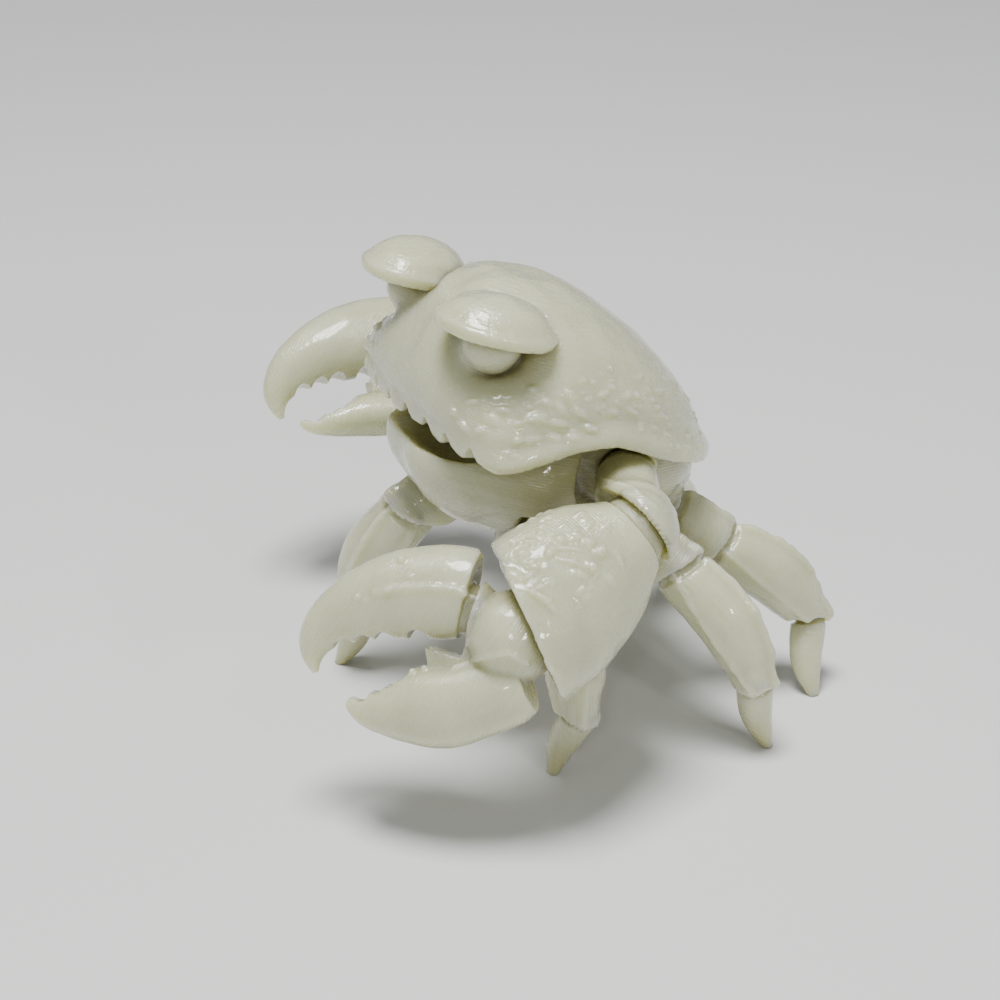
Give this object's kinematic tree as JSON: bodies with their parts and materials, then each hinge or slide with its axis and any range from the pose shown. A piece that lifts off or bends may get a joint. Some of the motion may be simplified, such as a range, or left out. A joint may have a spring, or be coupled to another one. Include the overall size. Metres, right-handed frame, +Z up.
{
  "type": "crab figurine",
  "caption": "Desk figurine of a crab with a domed toothed shell, hooded eyes, pincers and legs on snap-in ball joints, printed in translucent plastic.",
  "frame": {"origin": "on the floor, at the middle of the box that holds the figure", "axes": "+X to the crab's left, -Y to its front, +Z up"},
  "size_m": [0.0684, 0.0614, 0.0514],
  "materials": {
    "printed_plastic": "translucent off-white printed plastic with fine layer lines"
  },
  "bodies": {
    "body": {"carapace": "printed_plastic", "underbody": "printed_plastic", "eyelid_left": "printed_plastic", "eyelid_right": "printed_plastic", "eyeball_left": "printed_plastic", "eyeball_right": "printed_plastic"},
    "coxa_front_left": {"coxa_front_left": "printed_plastic"},
    "thigh_front_left": {"thigh_front_left": "printed_plastic"},
    "toe_front_left": {"toe_front_left": "printed_plastic"},
    "coxa_middle_left": {"coxa_middle_left": "printed_plastic"},
    "thigh_middle_left": {"thigh_middle_left": "printed_plastic"},
    "toe_middle_left": {"toe_middle_left": "printed_plastic"},
    "coxa_rear_left": {"coxa_rear_left": "printed_plastic"},
    "thigh_rear_left": {"thigh_rear_left": "printed_plastic"},
    "toe_rear_left": {"toe_rear_left": "printed_plastic"},
    "coxa_front_right": {"coxa_front_right": "printed_plastic"},
    "thigh_front_right": {"thigh_front_right": "printed_plastic"},
    "toe_front_right": {"toe_front_right": "printed_plastic"},
    "coxa_middle_right": {"coxa_middle_right": "printed_plastic"},
    "thigh_middle_right": {"thigh_middle_right": "printed_plastic"},
    "toe_middle_right": {"toe_middle_right": "printed_plastic"},
    "coxa_rear_right": {"coxa_rear_right": "printed_plastic"},
    "thigh_rear_right": {"thigh_rear_right": "printed_plastic"},
    "toe_rear_right": {"toe_rear_right": "printed_plastic"},
    "upper_arm_left": {"upper_arm_left": "printed_plastic"},
    "palm_left": {"palm_left": "printed_plastic"},
    "claw_lower_left": {"claw_lower_left": "printed_plastic"},
    "claw_upper_left": {"claw_upper_left": "printed_plastic"},
    "upper_arm_right": {"upper_arm_right": "printed_plastic"},
    "palm_right": {"palm_right": "printed_plastic"},
    "claw_lower_right": {"claw_lower_right": "printed_plastic"},
    "claw_upper_right": {"claw_upper_right": "printed_plastic"}
  },
  "joints": [
    {"name": "hip_front_left", "type": "hinge", "parent": "body", "child": "coxa_front_left", "pos_m": [0.01316, -0.00412, 0.02387], "axis": [0, 0, -1], "range_deg": [-10, 12]},
    {"name": "knee_front_left", "type": "hinge", "parent": "coxa_front_left", "child": "thigh_front_left", "pos_m": [0.01818, -0.0011, 0.02062], "axis": [-0.454, -0.891, 0], "range_deg": [-12, 15]},
    {"name": "ankle_front_left", "type": "hinge", "parent": "thigh_front_left", "child": "toe_front_left", "pos_m": [0.0234, -0.00376, 0.00746], "axis": [-0.5447, 0.8387, 0], "range_deg": [-15, 15]},
    {"name": "hip_middle_left", "type": "hinge", "parent": "body", "child": "coxa_middle_left", "pos_m": [0.0158, 0.00611, 0.02231], "axis": [0, 0, -1], "range_deg": [-15, 15]},
    {"name": "knee_middle_left", "type": "hinge", "parent": "coxa_middle_left", "child": "thigh_middle_left", "pos_m": [0.02017, 0.01018, 0.01927], "axis": [0.5878, -0.809, 0], "range_deg": [-12, 15]},
    {"name": "ankle_middle_left", "type": "hinge", "parent": "thigh_middle_left", "child": "toe_middle_left", "pos_m": [0.02718, 0.01527, 0.00777], "axis": [1, 0, 0], "range_deg": [-15, 15]},
    {"name": "hip_rear_left", "type": "hinge", "parent": "body", "child": "coxa_rear_left", "pos_m": [0.01172, 0.01391, 0.02122], "axis": [0, 0, -1], "range_deg": [-15, 15]},
    {"name": "knee_rear_left", "type": "hinge", "parent": "coxa_rear_left", "child": "thigh_rear_left", "pos_m": [0.01378, 0.01877, 0.01709], "axis": [0.9272, -0.3746, 0], "range_deg": [-12, 15]},
    {"name": "ankle_rear_left", "type": "hinge", "parent": "thigh_rear_left", "child": "toe_rear_left", "pos_m": [0.01773, 0.02853, 0.00727], "axis": [-0.3256, -0.9455, 0], "range_deg": [-15, 15]},
    {"name": "hip_front_right", "type": "hinge", "parent": "body", "child": "coxa_front_right", "pos_m": [-0.00172, -0.00412, 0.02387], "axis": [0, 0, 1], "range_deg": [-10, 12]},
    {"name": "knee_front_right", "type": "hinge", "parent": "coxa_front_right", "child": "thigh_front_right", "pos_m": [-0.00293, -0.0098, 0.02052], "axis": [-0.7193, 0.6947, 0], "range_deg": [-12, 15]},
    {"name": "ankle_front_right", "type": "hinge", "parent": "thigh_front_right", "child": "toe_front_right", "pos_m": [-0.00715, -0.01417, 0.00747], "axis": [-0.4695, 0.8829, 0], "range_deg": [-15, 15]},
    {"name": "hip_middle_right", "type": "hinge", "parent": "body", "child": "coxa_middle_right", "pos_m": [-0.00436, 0.00611, 0.02231], "axis": [0, 0, 1], "range_deg": [-15, 15]},
    {"name": "knee_middle_right", "type": "hinge", "parent": "coxa_middle_right", "child": "thigh_middle_right", "pos_m": [-0.00873, 0.01018, 0.01927], "axis": [0.5878, 0.809, 0], "range_deg": [-12, 15]},
    {"name": "ankle_middle_right", "type": "hinge", "parent": "thigh_middle_right", "child": "toe_middle_right", "pos_m": [-0.01574, 0.01527, 0.00777], "axis": [1, 0, 0], "range_deg": [-15, 15]},
    {"name": "hip_rear_right", "type": "hinge", "parent": "body", "child": "coxa_rear_right", "pos_m": [-0.00028, 0.01391, 0.02122], "axis": [0, 0, 1], "range_deg": [-15, 15]},
    {"name": "knee_rear_right", "type": "hinge", "parent": "coxa_rear_right", "child": "thigh_rear_right", "pos_m": [-0.00251, 0.01869, 0.01709], "axis": [0.8988, 0.4384, 0], "range_deg": [-12, 15]},
    {"name": "ankle_rear_right", "type": "hinge", "parent": "thigh_rear_right", "child": "toe_rear_right", "pos_m": [-0.00713, 0.02816, 0.00727], "axis": [0.342, 0.9397, 0], "range_deg": [-15, 15]},
    {"name": "shoulder_left", "type": "hinge", "parent": "body", "child": "upper_arm_left", "pos_m": [0.01832, 0.00428, 0.03095], "axis": [0, 0, -1], "range_deg": [-15, 15]},
    {"name": "elbow_left", "type": "hinge", "parent": "upper_arm_left", "child": "palm_left", "pos_m": [0.02606, 0.00017, 0.02893], "axis": [-0.9945, -0.1045, 0], "range_deg": [-8, 15]},
    {"name": "wrist_left", "type": "hinge", "parent": "palm_left", "child": "claw_lower_left", "pos_m": [0.0275, -0.01348, 0.02194], "axis": [-0.2403, -0.901, -0.3611], "range_deg": [-20, 20]},
    {"name": "pincer_left", "type": "hinge", "parent": "claw_lower_left", "child": "claw_upper_left", "pos_m": [0.02374, -0.01655, 0.02395], "axis": [-0.6982, 0.5856, -0.4118], "range_deg": [-6, 12]},
    {"name": "shoulder_right", "type": "hinge", "parent": "body", "child": "upper_arm_right", "pos_m": [-0.00688, 0.00428, 0.03095], "axis": [0, 0, 1], "range_deg": [-5, 15]},
    {"name": "elbow_right", "type": "hinge", "parent": "upper_arm_right", "child": "palm_right", "pos_m": [-0.01199, 0.01037, 0.02673], "axis": [-0.3256, 0.9455, 0], "range_deg": [-8, 15]},
    {"name": "wrist_right", "type": "hinge", "parent": "palm_right", "child": "claw_lower_right", "pos_m": [-0.02644, 0.0054, 0.02485], "axis": [-0.6259, -0.7766, -0.0719], "range_deg": [-20, 20]},
    {"name": "pincer_right", "type": "hinge", "parent": "claw_lower_right", "child": "claw_upper_right", "pos_m": [-0.02882, 0.00158, 0.02757], "axis": [-0.813, 0.0998, -0.5736], "range_deg": [-6, 12]}
  ]
}
